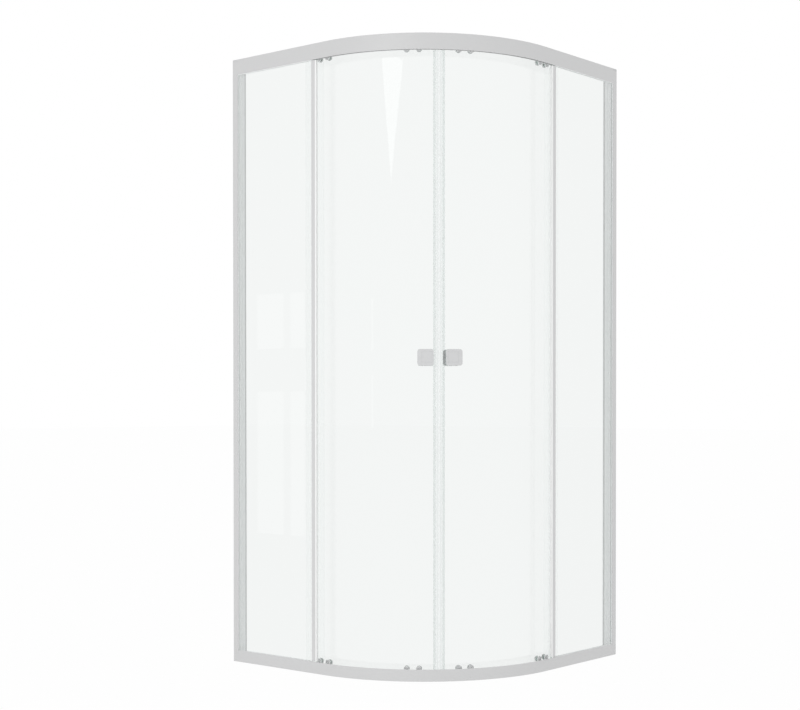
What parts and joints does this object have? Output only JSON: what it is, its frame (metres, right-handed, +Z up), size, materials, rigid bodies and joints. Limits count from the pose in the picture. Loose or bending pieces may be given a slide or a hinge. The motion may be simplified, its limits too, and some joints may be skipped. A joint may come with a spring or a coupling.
{
  "type": "quadrant shower enclosure",
  "caption": "Corner shower enclosure with curved double sliding doors, a fixed glass panel on each side, aluminium rails and square knob handles.",
  "frame": {"origin": "bottom centre of the bounding box, on the floor; the room corner is the vertical edge at -X +Y", "axes": "+Z up; one fixed panel runs along X at the -Y side and starts at the wall x = -0.4475; the other runs along Y at the +X side and starts at the wall y = +0.4475; the bowed doors face the +X -Y diagonal"},
  "size_m": [0.895, 0.895, 1.95],
  "materials": {
    "frame_aluminium": "bright satin anodised",
    "cap_plastic": "moulded, matched to the frame",
    "clear_glass": "clear toughened, faint green edge",
    "clear_seal": "translucent extruded",
    "gasket_rubber": "pale grey, matt",
    "handle_chrome": "satin chrome plated",
    "bracket_steel": "stamped, brushed",
    "bolt_metal": "polished",
    "wheel_nylon": "natural nylon",
    "screw_steel": "zinc plated",
    "stop_rubber": "black, matt"
  },
  "bodies": {
    "enclosure_frame": {"top_rail": "frame_aluminium", "bottom_rail": "frame_aluminium", "left_wall_channel": "frame_aluminium", "right_wall_channel": "frame_aluminium", "left_post": "frame_aluminium", "right_post": "frame_aluminium", "left_corner_cap": "cap_plastic", "right_corner_cap": "cap_plastic", "left_fixed_glass": "clear_glass", "right_fixed_glass": "clear_glass", "left_glazing_gasket": "gasket_rubber", "right_glazing_gasket": "gasket_rubber", "left_edge_profile": "frame_aluminium", "right_edge_profile": "frame_aluminium", "left_edge_seal": "clear_seal", "right_edge_seal": "clear_seal", "rail_screws": "screw_steel", "door_stops": "stop_rubber"},
    "left_door": {"left_door_glass": "clear_glass", "left_magnet_seal": "clear_seal", "left_tail_seal": "clear_seal", "left_outer_handle": "handle_chrome", "left_inner_handle": "handle_chrome", "left_top_roller_brackets": "bracket_steel", "left_bottom_roller_brackets": "bracket_steel", "left_glass_bolts": "bolt_metal"},
    "right_door": {"right_door_glass": "clear_glass", "right_magnet_seal": "clear_seal", "right_tail_seal": "clear_seal", "right_outer_handle": "handle_chrome", "right_inner_handle": "handle_chrome", "right_top_roller_brackets": "bracket_steel", "right_bottom_roller_brackets": "bracket_steel", "right_glass_bolts": "bolt_metal"},
    "left_top_lead_wheel": {"left_top_lead_wheel": "wheel_nylon"},
    "left_top_tail_wheel": {"left_top_tail_wheel": "wheel_nylon"},
    "left_bottom_lead_wheel": {"left_bottom_lead_wheel": "wheel_nylon"},
    "left_bottom_tail_wheel": {"left_bottom_tail_wheel": "wheel_nylon"},
    "right_top_lead_wheel": {"right_top_lead_wheel": "wheel_nylon"},
    "right_top_tail_wheel": {"right_top_tail_wheel": "wheel_nylon"},
    "right_bottom_lead_wheel": {"right_bottom_lead_wheel": "wheel_nylon"},
    "right_bottom_tail_wheel": {"right_bottom_tail_wheel": "wheel_nylon"}
  },
  "joints": [
    {"name": "left_door_travel", "type": "hinge", "parent": "enclosure_frame", "child": "left_door", "pos_m": [-0.1849, 0.4215, 0.975], "axis": [0, 0, -1], "range_deg": [0, 14.96]},
    {"name": "right_door_travel", "type": "hinge", "parent": "enclosure_frame", "child": "right_door", "pos_m": [-0.4215, 0.1849, 0.975], "axis": [0, 0, 1], "range_deg": [0, 14.96]},
    {"name": "left_top_lead_wheel_spin", "type": "hinge", "parent": "left_door", "child": "left_top_lead_wheel", "pos_m": [0.22279, -0.34143, 1.9378], "axis": [0.5671, -0.8236, 0], "range_deg": [0, 1367]},
    {"name": "left_top_tail_wheel_spin", "type": "hinge", "parent": "left_door", "child": "left_top_tail_wheel", "pos_m": [-0.0865, -0.423, 1.9378], "axis": [0, -1, 0], "range_deg": [0, 1344]},
    {"name": "left_bottom_lead_wheel_spin", "type": "hinge", "parent": "left_door", "child": "left_bottom_lead_wheel", "pos_m": [0.22279, -0.34143, 0.0168], "axis": [0.5671, -0.8236, 0], "range_deg": [0, 1367]},
    {"name": "left_bottom_tail_wheel_spin", "type": "hinge", "parent": "left_door", "child": "left_bottom_tail_wheel", "pos_m": [-0.0865, -0.423, 0.0168], "axis": [0, -1, 0], "range_deg": [0, 1344]},
    {"name": "right_top_lead_wheel_spin", "type": "hinge", "parent": "right_door", "child": "right_top_lead_wheel", "pos_m": [0.34143, -0.22279, 1.9378], "axis": [-0.8236, 0.5671, 0], "range_deg": [0, 1367]},
    {"name": "right_top_tail_wheel_spin", "type": "hinge", "parent": "right_door", "child": "right_top_tail_wheel", "pos_m": [0.423, 0.0865, 1.9378], "axis": [-1, 0, 0], "range_deg": [0, 1344]},
    {"name": "right_bottom_lead_wheel_spin", "type": "hinge", "parent": "right_door", "child": "right_bottom_lead_wheel", "pos_m": [0.34143, -0.22279, 0.0168], "axis": [-0.8236, 0.5671, 0], "range_deg": [0, 1367]},
    {"name": "right_bottom_tail_wheel_spin", "type": "hinge", "parent": "right_door", "child": "right_bottom_tail_wheel", "pos_m": [0.423, 0.0865, 0.0168], "axis": [-1, 0, 0], "range_deg": [0, 1344]}
  ],
  "couplings": [
    {"joint": "left_top_lead_wheel_spin", "follows": "left_door_travel", "ratio": 91.056},
    {"joint": "left_top_tail_wheel_spin", "follows": "left_door_travel", "ratio": 89.496},
    {"joint": "left_bottom_lead_wheel_spin", "follows": "left_door_travel", "ratio": 91.056},
    {"joint": "left_bottom_tail_wheel_spin", "follows": "left_door_travel", "ratio": 89.496},
    {"joint": "right_top_lead_wheel_spin", "follows": "right_door_travel", "ratio": 91.056},
    {"joint": "right_top_tail_wheel_spin", "follows": "right_door_travel", "ratio": 89.496},
    {"joint": "right_bottom_lead_wheel_spin", "follows": "right_door_travel", "ratio": 91.056},
    {"joint": "right_bottom_tail_wheel_spin", "follows": "right_door_travel", "ratio": 89.496}
  ]
}
